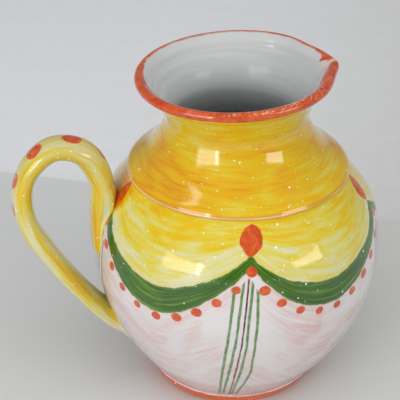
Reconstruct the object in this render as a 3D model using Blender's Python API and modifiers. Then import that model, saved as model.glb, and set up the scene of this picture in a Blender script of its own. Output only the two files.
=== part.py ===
"""Ceramic pitcher: a round-bellied jug with a flared, pinched rim and a looped strap handle.

The spout points along +X and the handle along -X. Z is up, and the foot stands on z = 0.
The origin is under the middle of the whole outline, so the turned pieces share an empty,
vessel_axis, that stands a little towards +X.
"""

import math

import bmesh
import bpy
import numpy
from mathutils import Vector
from mathutils.geometry import interpolate_bezier

MM = 0.001

# Driving dimensions, in millimetres.
HEIGHT = 200.0
GAP = 0.3                   # left between pieces that touch
WALL = 4.8
HANDLE_REACH = 131.0        # from the vessel's axis to the back of the handle
BELLY_RADIUS = 85.0
BELLY_HEIGHT = 87.0
BELLY_EASE = 0.9            # how much narrower the belly is this far above and below
BELLY_EASE_HEIGHT = 13.0
NECK_RADIUS = 41.6
NECK_HEIGHT = 169.0
RIDGE_RADIUS = 64.0
RIDGE_HEIGHT = 138.5        # where the lower and the upper thrown sections meet
LIP_BOTTOM = 193.5
LIP_RADIUS = 57.0
MOUTH_RADIUS = 54.6         # at the crest of the lip

# The foot: a low ring, slightly wider at its top than where it rests.
FOOT_HEIGHT = 8.0
FOOT_REST_RADIUS = 49.0
FOOT_TOP_RADIUS = 52.0
FOOT_INNER_RADIUS = 42.0
FOOT_EDGE = 1.0
FLOOR_TOP = 14.0            # inside of the vessel's floor
FLOOR_RADIUS = 43.0

# The raised line that hides the joint of the two thrown sections.
RIDGE_PROUD = 0.9
RIDGE_WIDTH = 2.4

# The spout: the rim pulled outwards over a few degrees, fading out down the neck.
SPOUT_PULL = 2.6
SPOUT_HALF_ANGLE = 10.0
SPOUT_PINCH = 1.8
SPOUT_PINCH_ANGLE = 24.0
SPOUT_START_HEIGHT = 182.0

# The strap handle: an oval section swept along a loop that stands in the XZ plane.
STRAP_HALF_WIDTH = 9.8
STRAP_HALF_THICKNESS = 6.1
STRAP_STEP = 3.0
STRAP_END_STEP = 0.5        # short, so that both faces of a split lie square to the strap
STRAP_UPPER_SPLIT = 46.0    # along the strap, from its upper end
STRAP_LOWER_SPLIT = 50.0    # along the strap, from its lower end
UPPER_END_TAPER = 0.7
LOWER_END_TAPER = 0.6

# Distance from the axis and height of points on the strap's middle line, upper end first.
STRAP_ROUTE = [(83.2, 86.0), (82.4, 105.0), (80.8, 122.0), (80.6, 138.0), (90.0, 156.0),
               (106.0, 160.2), (119.5, 149.0), (HANDLE_REACH - STRAP_HALF_THICKNESS, 131.5),
               (121.0, 109.5), (105.5, 81.5), (89.5, 58.5), (74.5, 41.0), (58.0, 30.5)]

TURN_STEPS = 48
RIM_STEPS = 60
SPAN_POINTS = 3
STRAP_RESOLUTION = 5

ORANGE = (0.70, 0.13, 0.045)
WARM_WHITE = (0.84, 0.78, 0.74)
DEEP_YELLOW = (0.86, 0.50, 0.025)
PALE_YELLOW = (0.86, 0.66, 0.16)
GLAZE_ROUGHNESS = 0.12

AXIS_X = (HANDLE_REACH - BELLY_RADIUS) / 2.0


# ---------------------------------------------------------------- outlines

def smooth_curve(knots, points_per_span):
    """Points along a smooth curve that passes through every knot."""
    knots = [Vector(knot) for knot in knots]
    padded = [2 * knots[0] - knots[1]] + knots + [2 * knots[-1] - knots[-2]]
    curve = []
    for before, start, end, after in zip(padded, padded[1:], padded[2:], padded[3:]):
        leave = start + (end - before) / 6.0
        arrive = end - (after - start) / 6.0
        span = interpolate_bezier(start, leave, arrive, end, points_per_span + 1)
        curve += [point.to_2d() for point in span[:-1]]
    curve.append(knots[-1].to_2d())
    return curve


def offset_outline(outline, distance):
    """The outline moved sideways: outwards if the distance is positive."""
    moved = []
    last = len(outline) - 1
    for index, point in enumerate(outline):
        along = outline[min(index + 1, last)] - outline[max(index - 1, 0)]
        outward = Vector((-along.y, along.x)).normalized()
        moved.append(point + outward * distance)
    return moved


def between_heights(outline, low, high):
    """The stretch of a falling outline between two heights, with its ends exactly on them."""
    longer = [2 * outline[0] - outline[1]] + outline + [2 * outline[-1] - outline[-2]]
    ends = []
    for height in (high, low):
        for above, below in zip(longer, longer[1:]):
            if above.y >= height > below.y:
                ends.append(above.lerp(below, (above.y - height) / (above.y - below.y)))
    kept = [point for point in longer if low < point.y < high]
    return [ends[0]] + kept + [ends[1]]


def belly_outside():
    """Outer side of the lower section, from the ridge down to the foot."""
    beside_widest = BELLY_RADIUS - BELLY_EASE
    return smooth_curve([(RIDGE_RADIUS, RIDGE_HEIGHT), (79.8, 117.0),
                         (beside_widest, BELLY_HEIGHT + BELLY_EASE_HEIGHT),
                         (BELLY_RADIUS, BELLY_HEIGHT),
                         (beside_widest, BELLY_HEIGHT - BELLY_EASE_HEIGHT),
                         (78.3, 52.0), (67.7, 30.0),
                         (FOOT_TOP_RADIUS, FOOT_HEIGHT + GAP)], SPAN_POINTS)


def neck_outside():
    """Outer side of the upper section, from under the lip down to the ridge."""
    return smooth_curve([(54.4, LIP_BOTTOM - GAP), (49.0, 188.6), (43.6, 180.0),
                         (NECK_RADIUS, NECK_HEIGHT), (50.3, 153.0),
                         (RIDGE_RADIUS, RIDGE_HEIGHT + GAP + RIDGE_WIDTH)], SPAN_POINTS)


# ---------------------------------------------------------------- materials

def glaze(name, colour):
    material = bpy.data.materials.new(name)
    material.use_nodes = True
    shader = material.node_tree.nodes["Principled BSDF"]
    shader.inputs["Base Color"].default_value = (*colour, 1.0)
    shader.inputs["Roughness"].default_value = GLAZE_ROUGHNESS
    shader.inputs["Metallic"].default_value = 0.0
    material.diffuse_color = (*colour, 1.0)
    return material


# ---------------------------------------------------------------- building blocks

def clear_scene():
    for item in list(bpy.data.objects):
        bpy.data.objects.remove(item, do_unlink=True)


def new_collection(name):
    collection = bpy.data.collections.new(name)
    bpy.context.scene.collection.children.link(collection)
    return collection


def add_object(name, data, collection, parent):
    item = bpy.data.objects.new(name, data)
    collection.objects.link(item)
    item.parent = parent
    return item


def baked_copy(item, name, collection, parent):
    """A plain mesh object of what the item's curve or modifiers make; the item is removed."""
    bpy.context.view_layer.update()
    evaluated = item.evaluated_get(bpy.context.evaluated_depsgraph_get())
    mesh = bpy.data.meshes.new_from_object(evaluated)
    matrix = item.matrix_local.copy()
    bpy.data.objects.remove(item, do_unlink=True)
    copy = add_object(name, mesh, collection, parent)
    copy.matrix_local = matrix
    return copy


def weld(mesh):
    work = bmesh.new()
    work.from_mesh(mesh)
    bmesh.ops.remove_doubles(work, verts=work.verts, dist=0.00001)
    bmesh.ops.recalc_face_normals(work, faces=work.faces)
    work.to_mesh(mesh)
    work.free()


def shade_round(mesh, crease_degrees):
    mesh.shade_smooth()
    mesh.set_sharp_from_angle(angle=math.radians(crease_degrees))


def turned(name, outline, closed, steps, collection, parent):
    """A profile of (radius, height) points in millimetres, turned about the axis."""
    mesh = bpy.data.meshes.new(name)
    points = [(radius * MM, 0.0, height * MM) for radius, height in outline]
    edges = [(index, index + 1) for index in range(len(points) - 1)]
    if closed:
        edges.append((len(points) - 1, 0))
    mesh.from_pydata(points, edges, [])
    item = add_object(name, mesh, collection, parent)
    screw = item.modifiers.new("turn", "SCREW")
    screw.axis = "Z"
    screw.steps = steps
    screw.render_steps = steps
    screw.use_merge_vertices = True
    screw.merge_threshold = 0.00001
    screw.use_smooth_shade = True
    return baked_copy(item, name, collection, parent)


# ---------------------------------------------------------------- the vessel

def add_foot_ring(collection, parent):
    outline = [(FOOT_INNER_RADIUS, FOOT_EDGE), (FOOT_INNER_RADIUS, FOOT_HEIGHT),
               (FOOT_TOP_RADIUS - FOOT_EDGE, FOOT_HEIGHT),
               (FOOT_TOP_RADIUS, FOOT_HEIGHT - FOOT_EDGE),
               (FOOT_REST_RADIUS, FOOT_EDGE),
               (FOOT_REST_RADIUS - FOOT_EDGE, 0.0),
               (FOOT_INNER_RADIUS + FOOT_EDGE, 0.0)]
    ring = turned("foot_ring", outline, True, TURN_STEPS, collection, parent)
    shade_round(ring.data, 30)
    ring.data.materials.append(glaze("foot_glaze", ORANGE))


def add_belly(collection, parent):
    outside = belly_outside()
    wall = between_heights(offset_outline(outside, -WALL), FLOOR_TOP + WALL, RIDGE_HEIGHT)
    floor = [Vector((0.0, FLOOR_TOP)), Vector((FLOOR_RADIUS, FLOOR_TOP))]
    underside = [Vector((0.0, FOOT_HEIGHT + GAP))]
    outline = floor + wall[::-1] + outside + underside
    belly = turned("belly", outline, False, TURN_STEPS, collection, parent)
    shade_round(belly.data, 40)
    belly.data.materials.append(glaze("belly_glaze", WARM_WHITE))


def pull_spout(mesh):
    """Moves the rim outwards at +X, and a little inwards on both sides of the spout."""
    for vertex in mesh.vertices:
        radius = math.hypot(vertex.co.x, vertex.co.y)
        angle = math.degrees(math.atan2(vertex.co.y, vertex.co.x))
        rise = (vertex.co.z / MM - SPOUT_START_HEIGHT) / (HEIGHT - SPOUT_START_HEIGHT)
        share = min(max(rise, 0.0), 1.0) ** 2
        tongue = SPOUT_PULL * math.exp(-(angle / SPOUT_HALF_ANGLE) ** 2)
        side = (abs(angle) - SPOUT_PINCH_ANGLE) / SPOUT_HALF_ANGLE
        pinch = SPOUT_PINCH * math.exp(-side ** 2)
        stretch = 1.0 + (tongue - pinch) * share * MM / radius
        vertex.co.x *= stretch
        vertex.co.y *= stretch


def add_shoulder_and_neck(collection, parent):
    outside = neck_outside()
    inside = between_heights(offset_outline(outside, -WALL), RIDGE_HEIGHT + GAP, LIP_BOTTOM - GAP)
    middle = RIDGE_HEIGHT + GAP + RIDGE_WIDTH / 2.0
    ridge = [Vector((RIDGE_RADIUS + RIDGE_PROUD, middle)),
             Vector((RIDGE_RADIUS + RIDGE_PROUD / 2.0, RIDGE_HEIGHT + GAP))]
    outline = inside[::-1] + outside + ridge
    neck = turned("shoulder_and_neck", outline, True, RIM_STEPS, collection, parent)
    pull_spout(neck.data)
    shade_round(neck.data, 40)
    neck.data.materials.append(glaze("shoulder_glaze", DEEP_YELLOW))


def add_lip(collection, parent):
    outline = [(48.0, LIP_BOTTOM), (49.8, 196.2), (51.6, 198.6), (53.0, 199.7),
               (MOUTH_RADIUS, HEIGHT), (56.2, 199.2), (LIP_RADIUS, 197.4),
               (56.4, 195.4), (54.8, LIP_BOTTOM)]
    lip = turned("lip_with_spout", outline, True, RIM_STEPS, collection, parent)
    pull_spout(lip.data)
    shade_round(lip.data, 60)
    lip.data.materials.append(glaze("lip_glaze", ORANGE))


# ---------------------------------------------------------------- the handle

def strap_line():
    """The strap's middle line as evenly spaced points, upper end first."""
    curve = smooth_curve(STRAP_ROUTE, 24)
    steps = [(end - start).length for start, end in zip(curve, curve[1:])]
    travelled = numpy.concatenate([[0.0], numpy.cumsum(steps)])
    return curve, travelled


def strap_point(distance):
    curve, travelled = strap_line()
    radius = numpy.interp(distance, travelled, [point.x for point in curve])
    height = numpy.interp(distance, travelled, [point.y for point in curve])
    return Vector((-radius * MM, 0.0, height * MM))


def strap_piece(name, start, end, start_scale, end_scale, collection, parent):
    """The stretch of strap between two distances along it, as a welded mesh."""
    curve = bpy.data.curves.new(name, "CURVE")
    curve.dimensions = "3D"
    curve.bevel_depth = STRAP_HALF_THICKNESS * MM
    curve.bevel_resolution = STRAP_RESOLUTION
    curve.use_fill_caps = True
    first, last = start + STRAP_END_STEP, end - STRAP_END_STEP
    count = round((last - first) / STRAP_STEP) + 1
    stops = [start, *numpy.linspace(first, last, count), end]
    spline = curve.splines.new("POLY")
    spline.points.add(len(stops) - 1)
    for stop, point in zip(stops, spline.points):
        point.co = (*strap_point(stop), 1.0)
        point.radius = numpy.interp(stop, (start, end), (start_scale, end_scale))
    item = add_object(name, curve, collection, parent)
    strap = baked_copy(item, name, collection, parent)
    for vertex in strap.data.vertices:
        vertex.co.y *= STRAP_HALF_WIDTH / STRAP_HALF_THICKNESS
    weld(strap.data)
    return strap


def add_body_cutter(collection, parent):
    """The whole outside of the belly, one gap larger, filled to the axis."""
    grown = offset_outline(belly_outside(), GAP)
    outline = [Vector((0.0, grown[0].y))] + grown + [Vector((0.0, grown[-1].y))]
    cutter = turned("body_cutter", outline, False, TURN_STEPS, collection, parent)
    cutter.hide_render = True
    cutter.display_type = "WIRE"
    return cutter


def cut_by(item, cutter):
    cut = item.modifiers.new("fit_to_body", "BOOLEAN")
    cut.operation = "DIFFERENCE"
    cut.solver = "EXACT"
    cut.object = cutter


def add_handle(collection, parent, cutter):
    length = strap_line()[1][-1]
    lower_split = length - STRAP_LOWER_SPLIT
    upper = strap_piece("handle_upper_joint", 0.0, STRAP_UPPER_SPLIT,
                        UPPER_END_TAPER, 1.0, collection, parent)
    loop = strap_piece("handle", STRAP_UPPER_SPLIT + GAP, lower_split - GAP,
                       1.0, 1.0, collection, parent)
    lower = strap_piece("handle_lower_joint", lower_split, length,
                        1.0, LOWER_END_TAPER, collection, parent)
    for piece in (upper, lower):
        cut_by(piece, cutter)
    for piece in (upper, loop, lower):
        shade_round(piece.data, 50)
        piece.data.materials.append(glaze(piece.name + "_glaze", PALE_YELLOW))


def main():
    clear_scene()
    parts = new_collection("ceramic_pitcher")
    cutters = new_collection("cutters")
    axis = bpy.data.objects.new("vessel_axis", None)
    parts.objects.link(axis)
    axis.location.x = AXIS_X * MM
    add_foot_ring(parts, axis)
    add_belly(parts, axis)
    add_shoulder_and_neck(parts, axis)
    add_lip(parts, axis)
    add_handle(parts, axis, add_body_cutter(cutters, axis))


main()
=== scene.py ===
"""Looks of the ceramic pitcher: hand-painted glazed earthenware on a plain pale table.

Lengths are millimetres until a mesh is made. Round pieces are described by radius and height
about the vessel's axis; azimuth is in degrees about it, 0 at the spout and 180 at the handle.
"""

import math
from collections import namedtuple

import bmesh
import bpy
import numpy as np
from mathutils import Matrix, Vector


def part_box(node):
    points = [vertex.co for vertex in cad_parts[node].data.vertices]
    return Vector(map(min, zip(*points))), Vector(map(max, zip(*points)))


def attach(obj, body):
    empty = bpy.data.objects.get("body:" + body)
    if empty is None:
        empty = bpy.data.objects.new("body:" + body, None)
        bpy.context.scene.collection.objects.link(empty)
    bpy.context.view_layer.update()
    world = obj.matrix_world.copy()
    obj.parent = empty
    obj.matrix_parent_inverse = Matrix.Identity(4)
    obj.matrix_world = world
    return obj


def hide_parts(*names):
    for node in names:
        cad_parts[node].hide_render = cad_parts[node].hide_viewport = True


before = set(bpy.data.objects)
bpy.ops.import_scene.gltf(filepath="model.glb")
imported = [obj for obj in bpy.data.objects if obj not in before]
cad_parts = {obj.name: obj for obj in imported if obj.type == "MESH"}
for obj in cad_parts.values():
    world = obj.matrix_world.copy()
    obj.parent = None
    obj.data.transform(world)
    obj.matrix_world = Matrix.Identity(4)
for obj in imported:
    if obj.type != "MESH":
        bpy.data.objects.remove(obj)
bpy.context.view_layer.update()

MM = 0.001


# ------------ sizes from the frame

def span(node, axis):
    """Lowest and highest coordinate of a CAD node along one axis, in millimetres."""
    low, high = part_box(node)
    return low[axis] / MM, high[axis] / MM


AXIS_X = sum(span("foot_ring", 0)) / 2.0
HEIGHT = span("lip_with_spout", 2)[1]
BELLY_RADIUS = span("belly", 1)[1]
LIP_RADIUS = span("lip_with_spout", 1)[1]
FOOT_TOP_RADIUS = span("foot_ring", 1)[1]
HANDLE_REACH = AXIS_X - span("handle", 0)[0]
STRAP_HALF_WIDTH = span("handle", 1)[1]
LIP_JOINT = (span("lip_with_spout", 2)[0] + span("shoulder_and_neck", 2)[1]) / 2.0
RIDGE_JOINT = (span("shoulder_and_neck", 2)[0] + span("belly", 2)[1]) / 2.0
FOOT_JOINT = (span("foot_ring", 2)[1] + span("belly", 2)[0]) / 2.0

# What the boxes don't give.
WALL = 4.8
RIDGE_RADIUS = 64.0
RIDGE_PROUD = 0.8
FLOOR_TOP = 14.0
FOOT_INNER_RADIUS = 42.0

SPOUT_PULL = 2.6            # how far the spout's tip is drawn out
SPOUT_HALF_ANGLE = 8.0
SPOUT_PINCH = 1.8           # how far the rim is pressed in beside it
SPOUT_PINCH_SHARES = (1.3, 0.7)   # of the pinch, on the spout's two sides
SPOUT_PINCH_ANGLE = 24.0
SPOUT_PINCH_WIDTH = 13.0
SPOUT_OFFSET = 7.0          # how far its tip is turned from straight ahead
SPOUT_START_HEIGHT = 182.0

# The slow waves round the wall and the fine rings up it that the potter's fingers leave.
WIDE_WAVES = 0.16
NARROW_WAVES = 0.10
THROWING_RINGS = 0.06

# How far each level of the pot sits off its axis towards LEAN_AZIMUTH: (height, distance).
LEAN_AZIMUTH = -14.0
OFF_CENTRE = [(0.0, 0.0), (8.0, 0.3), (30.0, 1.1), (60.0, 1.0), (87.0, 1.1), (120.0, 1.5),
              (138.0, 1.5), (155.0, 0.8), (170.0, 0.2), (HEIGHT, -0.9)]
RIM_TILT = 0.042            # slope by which the rim rises towards LEAN_AZIMUTH
RIM_TILT_START = 158.0
RIM_DROP = 18.0             # how far out that way the tilted rim keeps its height

# The middle of the strap, as (radius, height), from its tail's tip to its lower joint.
STRAP_HALF_THICKNESS = 6.1
STRAP_ROUTE = [(83.2, 89.0), (82.4, 105.0), (80.8, 122.0), (80.6, 138.0), (90.0, 156.0),
               (106.0, 160.2), (119.5, 149.0), (HANDLE_REACH - STRAP_HALF_THICKNESS, 131.5),
               (121.0, 109.5), (105.5, 81.5), (89.5, 58.5), (74.5, 41.0), (58.0, 30.5)]
TAIL_HALF_THICKNESS = 3.2
TAIL_THINS_OVER = 46.0

# The camera looks down at the pitcher from the side, at a point beside the vessel's axis.
CAMERA_AZIMUTH = -104.0
CAMERA_DISTANCE = 664.0
CAMERA_HEIGHT = 507.5
AIM_LEFT = 20.6
AIM_HEIGHT = 113.6
CAMERA_LENS = 117.0


# ------------ outlines

def even_points(points, spacing):
    """The same line with evenly spaced points."""
    points = np.asarray(points, float)
    travelled = np.concatenate([[0.0], np.cumsum(np.hypot(*np.diff(points, axis=0).T))])
    stops = np.linspace(0.0, travelled[-1], max(round(travelled[-1] / spacing), 2) + 1)
    return np.stack([np.interp(stops, travelled, column) for column in points.T], axis=1)


def smooth_curve(knots, spacing):
    """Evenly spaced points along a smooth curve that passes through every knot."""
    knots = np.asarray(knots, float)
    padded = np.vstack([2 * knots[0] - knots[1], knots, 2 * knots[-1] - knots[-2]])
    u = np.linspace(0.0, 1.0, 40, endpoint=False)[:, None]
    spans = []
    for before, start, end, after in zip(padded, padded[1:], padded[2:], padded[3:]):
        leave = (end - before) / 2.0
        arrive = (after - start) / 2.0
        spans.append((2 * u**3 - 3 * u**2 + 1) * start + (u**3 - 2 * u**2 + u) * leave
                     + (3 * u**2 - 2 * u**3) * end + (u**3 - u**2) * arrive)
    return even_points(np.vstack(spans + [knots[-1:]]), spacing)


def offset_outline(outline, distance):
    """A falling outline moved sideways: outwards if the distance is positive."""
    along = np.gradient(outline, axis=0)
    outward = np.stack([-along[:, 1], along[:, 0]], axis=1)
    return outline + distance * outward / np.linalg.norm(outward, axis=1, keepdims=True)


BELLY_LINE = smooth_curve([(RIDGE_RADIUS, RIDGE_JOINT), (79.8, 117.0), (84.1, 100.0),
                           (BELLY_RADIUS, 87.0), (84.1, 74.0), (78.3, 52.0), (67.7, 30.0),
                           (FOOT_TOP_RADIUS, FOOT_JOINT)], 0.5)
NECK_KNOTS = [(54.4, LIP_JOINT), (49.0, 188.6), (43.6, 180.0), (41.6, 169.0), (50.3, 153.0)]
NECK_LINE = smooth_curve(NECK_KNOTS + [(RIDGE_RADIUS, RIDGE_JOINT + 2.4)], 0.5)
INSIDE_LINE = offset_outline(np.vstack([NECK_LINE, BELLY_LINE[1:]]), -WALL)
OFF_CENTRE_LINE = smooth_curve(OFF_CENTRE, 0.5)


def off_centre(height):
    """How far the pot is off its axis at a height."""
    return np.interp(height, *OFF_CENTRE_LINE.T)


def wall_behind(height):
    """Outer radius of the belly where the handle is."""
    lean = math.cos(math.radians(180.0 - LEAN_AZIMUTH))
    return body_radius(height) + off_centre(height) * lean


def body_radius(height):
    """Outer radius of the belly at a height."""
    return np.interp(height, BELLY_LINE[::-1, 1], BELLY_LINE[::-1, 0])


def inside_between(low, high, spacing):
    """The inner wall between two heights, top first."""
    heights = np.linspace(high, low, max(round((high - low) / spacing), 2) + 1)
    radii = np.interp(heights, INSIDE_LINE[::-1, 1], INSIDE_LINE[::-1, 0])
    return np.stack([radii, heights], axis=1)


# ------------ mesh building

def hand_shape(radius, azimuth, height):
    """Radius after the potter's touches: the pulled spout and a slightly uneven wall."""
    rise = np.clip((height - SPOUT_START_HEIGHT) / (HEIGHT - SPOUT_START_HEIGHT), 0.0, 1.0)
    tongue = SPOUT_PULL * np.exp(-((azimuth + SPOUT_OFFSET) / SPOUT_HALF_ANGLE) ** 2)
    side = (np.abs(azimuth) - SPOUT_PINCH_ANGLE) / SPOUT_PINCH_WIDTH
    pinch = SPOUT_PINCH * np.exp(-side ** 2) * np.where(azimuth > 0.0, *SPOUT_PINCH_SHARES)
    turn = np.radians(azimuth)
    uneven = (WIDE_WAVES * np.sin(2 * turn + 0.8 + height / 60.0)
              + NARROW_WAVES * np.sin(3 * turn - height / 35.0))
    rings = THROWING_RINGS * np.sin(height / 1.9 + np.sin(turn) + 2.0 * np.sin(height / 23.0))
    return radius + (tongue - pinch) * rise ** 2 + (uneven + rings) * (radius / BELLY_RADIUS)


def thrown_points(radius, azimuth, height):
    """Points in the frame of the pot as it came off the wheel, a little off its axis."""
    turn = np.radians(azimuth)
    lean = math.radians(LEAN_AZIMUTH)
    reach = hand_shape(radius, azimuth, height) if radius > 0.0 else np.zeros(len(turn))
    shift = off_centre(height)
    rise = np.clip((height - RIM_TILT_START) / (HEIGHT - RIM_TILT_START), 0.0, 1.0)
    tilt = RIM_TILT * rise ** 2 * (3.0 - 2.0 * rise)
    return np.stack([AXIS_X + reach * np.cos(turn) + shift * math.cos(lean),
                     reach * np.sin(turn) + shift * math.sin(lean),
                     height + tilt * (reach * np.cos(turn - lean) - RIM_DROP)], axis=1)


def new_object(name, data):
    """Links the data into the scene as an object."""
    item = bpy.data.objects.new(name, data)
    bpy.context.scene.collection.objects.link(item)
    return item


def turned(name, outline, steps, closed):
    """A closed mesh turned from an outline that ends on the axis or, if closed, is a loop.

    Returns the object and each vertex's azimuth and height."""
    outline = np.asarray(outline, float)
    on_axis = outline[:, 0] < 1e-6
    azimuths = np.arange(steps) * 360.0 / steps
    rows = []
    coords = []
    azimuth_of = []
    height_of = []
    for (radius, height), pole in zip(outline, on_axis):
        turns = azimuths[:1] if pole else azimuths
        first = len(azimuth_of)
        rows.append(np.full(steps, first) if pole else np.arange(first, first + steps))
        signed = (turns + 180.0) % 360.0 - 180.0
        coords.append(thrown_points(radius, signed, height))
        azimuth_of += list(signed)
        height_of += [height] * len(turns)
    pairs = list(zip(rows, rows[1:])) + ([(rows[-1], rows[0])] if closed else [])
    faces = []
    for upper, lower in pairs:
        quads = np.stack([upper, lower, np.roll(lower, -1), np.roll(upper, -1)], axis=1)
        faces += [tuple(dict.fromkeys(quad)) for quad in quads.tolist()]
    mesh = bpy.data.meshes.new(name)
    mesh.from_pydata((np.vstack(coords) * MM).tolist(), [], faces)
    item = new_object(name, mesh)
    finish_mesh(mesh)
    return item, np.array(azimuth_of), np.array(height_of)


def finish_mesh(mesh, crease_degrees=50.0):
    """Normals outwards, and smooth shading that keeps only the sharp creases."""
    work = bmesh.new()
    work.from_mesh(mesh)
    bmesh.ops.recalc_face_normals(work, faces=work.faces)
    work.to_mesh(mesh)
    work.free()
    mesh.shade_smooth()
    mesh.set_sharp_from_angle(angle=math.radians(crease_degrees))


def store(mesh, name, values):
    """A number for each vertex, which the material reads by name."""
    layer = mesh.attributes.new(name, "FLOAT", "POINT")
    layer.data.foreach_set("value", np.asarray(values, np.float32))


def store_vector(mesh, name, values):
    """Three numbers for each vertex."""
    layer = mesh.attributes.new(name, "FLOAT_VECTOR", "POINT")
    layer.data.foreach_set("vector", np.asarray(values, np.float32).ravel())


def store_ring(mesh, azimuth, level):
    """Brush direction around the pot: slow along the turn, quick from level to level."""
    turn = np.radians(azimuth)
    store_vector(mesh, "stroke", np.stack([np.cos(turn), np.sin(turn), level], axis=1))


# ------------ the painted design

# A swag runs from its own cusp, an azimuth, to the next one's. At the share `lowest` of its
# length its two edges are down at upper_low and lower_low, and they climb from there to its
# first and its last cusp as those powers. Its dots are dot_drop under it, and yellow_fade is
# how far the yellow above it has thinned out when it meets the swag.
Swag = namedtuple("Swag", "cusp upper_low lower_low lowest first_power last_power dot_drop "
                  "yellow_fade")
SWAGS = [Swag(-173.0, 101.0, 83.9, 0.51, 1.9, 1.5, 3.3, 0.97),
         Swag(-98.0, 103.3, 87.7, 0.48, 2.1, 1.6, 3.7, 0.78),
         Swag(-24.0, 102.2, 86.0, 0.50, 1.7, 1.6, 3.9, 0.9),
         Swag(49.0, 101.5, 85.0, 0.52, 1.6, 1.8, 3.6, 1.0),
         Swag(120.0, 102.6, 86.4, 0.49, 1.8, 1.5, 4.1, 0.85)]
CUSPS = [swag.cusp for swag in SWAGS]
SWAG_TOP_AT_CUSP = 123.6
SWAG_BOTTOM_AT_CUSP = 118.8
DOT_RADIUS = 2.7
DOTS_PER_SWAG = 9
DOT_WANDER = (0.7, 0.3)     # how far a dot strays along its row, and across it
DOT_UNEVEN = 0.09
DOT_WIDTH_SHARE = 0.92      # a dot is drawn wider than high by dividing by this
ROW_RADIUS_SHARE = 0.97     # the wall's radius at the dots, as a share of the belly's
LEAF_HEIGHT = 130.5
LEAF_HALF_HEIGHT = 7.2
LEAF_HALF_WIDTH = 6.4
LEAF_ROUNDNESS = 1.7        # 1 is a straight lozenge and 2 an ellipse
LEAF_TAPER = 0.012          # it narrows upwards by this share of its width each millimetre
LEAF_LEAN = 0.10
# How far each leaf is from its cusp in degrees, and its share of the full width.
LEAVES = [(-2.0, 0.7), (0.3, 1.0), (0.6, 0.82), (0.0, 0.95), (-0.5, 0.9)]
STEM_FOOT = 11.5
STEM_HALF_WIDTH = 0.8

# Azimuth of each stem from its cusp, at a few heights: four green ones round a maroon one.
STEM_LEVELS = [112.0, 88.0, 67.0, 42.0, 25.0, 12.0]
STEMS = [[-6.0, -7.5, -8.8, -11.2, -12.8, -14.0],
         [-2.9, -4.5, -5.6, -8.4, -10.3, -11.5],
         [-1.0, -2.2, -3.1, -5.5, -6.8, -7.8],
         [0.7, -0.7, -1.1, -3.4, -5.4, -6.1],
         [2.5, 2.5, 2.2, 1.0, -1.8, -3.6]]
STEM_TOPS = [105.0, 110.5, 113.0, 110.5, 105.0]
MAROON_STEM = 2

# The pink wash over the white is strongest round one place low on the belly.
BLUSH_AZIMUTH = -66.0
BLUSH_HEIGHT = 50.0
BLUSH_SPREAD = (26.0, 20.0)     # in degrees and in millimetres
YELLOW_STROKES = 24.0       # how many brush widths the yellow and the green are deep
GREEN_STROKES = 13.0
CREVICE_HEIGHT = 124.0      # where the paint pools most, darkened by painted shade, beside the strap's tail
FAR_OFF = 99.0              # a distance that is past every dot and leaf
NEVER_PAINTED = -9.0


def degrees_apart(azimuth, other):
    """The turn from the other azimuth to this one, between -180 and 180."""
    return (azimuth - other + 180.0) % 360.0 - 180.0


def swag_position(azimuth):
    """Which swag an azimuth is in, and how far across it: 0 at its first cusp, 1 at its last."""
    starts = np.array(CUSPS)
    widths = np.diff(np.append(starts, starts[0] + 360.0))
    beyond = (azimuth[:, None] - starts) % 360.0
    which = beyond.argmin(axis=1)
    return which, beyond[np.arange(len(azimuth)), which] / widths[which]


def swag_values(field, which):
    """One field of the swag that each point is in."""
    return np.array([getattr(swag, field) for swag in SWAGS])[which]


def swag_edges(which, share):
    """Heights of a swag's upper and lower edges, and how they slope over the share."""
    upper_low = swag_values("upper_low", which)
    lower_low = swag_values("lower_low", which)
    lowest = swag_values("lowest", which)
    before = share < lowest
    reach = np.where(before, lowest, 1.0 - lowest)
    swing = np.abs(share - lowest) / reach
    power = np.where(before, swag_values("first_power", which), swag_values("last_power", which))
    rise = swing ** power
    slope = np.where(before, -1.0, 1.0) * power * np.maximum(swing, 1e-3) ** (power - 1.0) / reach
    upper_depth = SWAG_TOP_AT_CUSP - upper_low
    lower_depth = SWAG_BOTTOM_AT_CUSP - lower_low
    return (upper_low + upper_depth * rise, lower_low + lower_depth * rise,
            upper_depth * slope, lower_depth * slope)


def dot_places():
    """(azimuth, height, radius) of every dot: one under each cusp and a row under each swag."""
    places = []
    starts = CUSPS + [CUSPS[0] + 360.0]
    shares = np.linspace(0.03, 0.97, 300)
    for number, (start, end) in enumerate(zip(starts, starts[1:])):
        width = math.radians(end - start) * BELLY_RADIUS * ROW_RADIUS_SHARE
        drop = SWAGS[number].dot_drop
        _, lower, _, slope = swag_edges(np.full(len(shares), number), shares)
        slope = slope / width
        tilt = np.hypot(1.0, slope)
        around = shares * width + drop * slope / tilt
        level = lower - drop / tilt
        cusp_level = SWAG_BOTTOM_AT_CUSP - DOT_RADIUS
        around = np.concatenate([[0.0], around, [width]])
        level = np.concatenate([[cusp_level], level, [cusp_level]])
        travelled = np.concatenate([[0.0], np.cumsum(np.hypot(np.diff(around), np.diff(level)))])
        stops = np.linspace(0.0, travelled[-1], DOTS_PER_SWAG + 2)[:-1]
        for index, stop in enumerate(stops):
            wander = math.sin(12.9 * index + 7.1 * number) * min(index, 1)
            stop += DOT_WANDER[0] * wander
            size = DOT_RADIUS * (1.0 + DOT_UNEVEN * math.cos(5.3 * index + number))
            places.append((start + np.interp(stop, travelled, around) / width * (end - start),
                           np.interp(stop, travelled, level) + DOT_WANDER[1] * wander, size))
    return places


def dot_distance(azimuth, height, radius):
    """Distance in millimetres to the edge of the nearest dot, negative inside it."""
    nearest = np.full(len(azimuth), FAR_OFF)
    for where, level, size in dot_places():
        around = np.radians(degrees_apart(azimuth, where)) * radius
        nearest = np.minimum(nearest, np.hypot(around * DOT_WIDTH_SHARE, height - level) - size)
    return nearest


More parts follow.
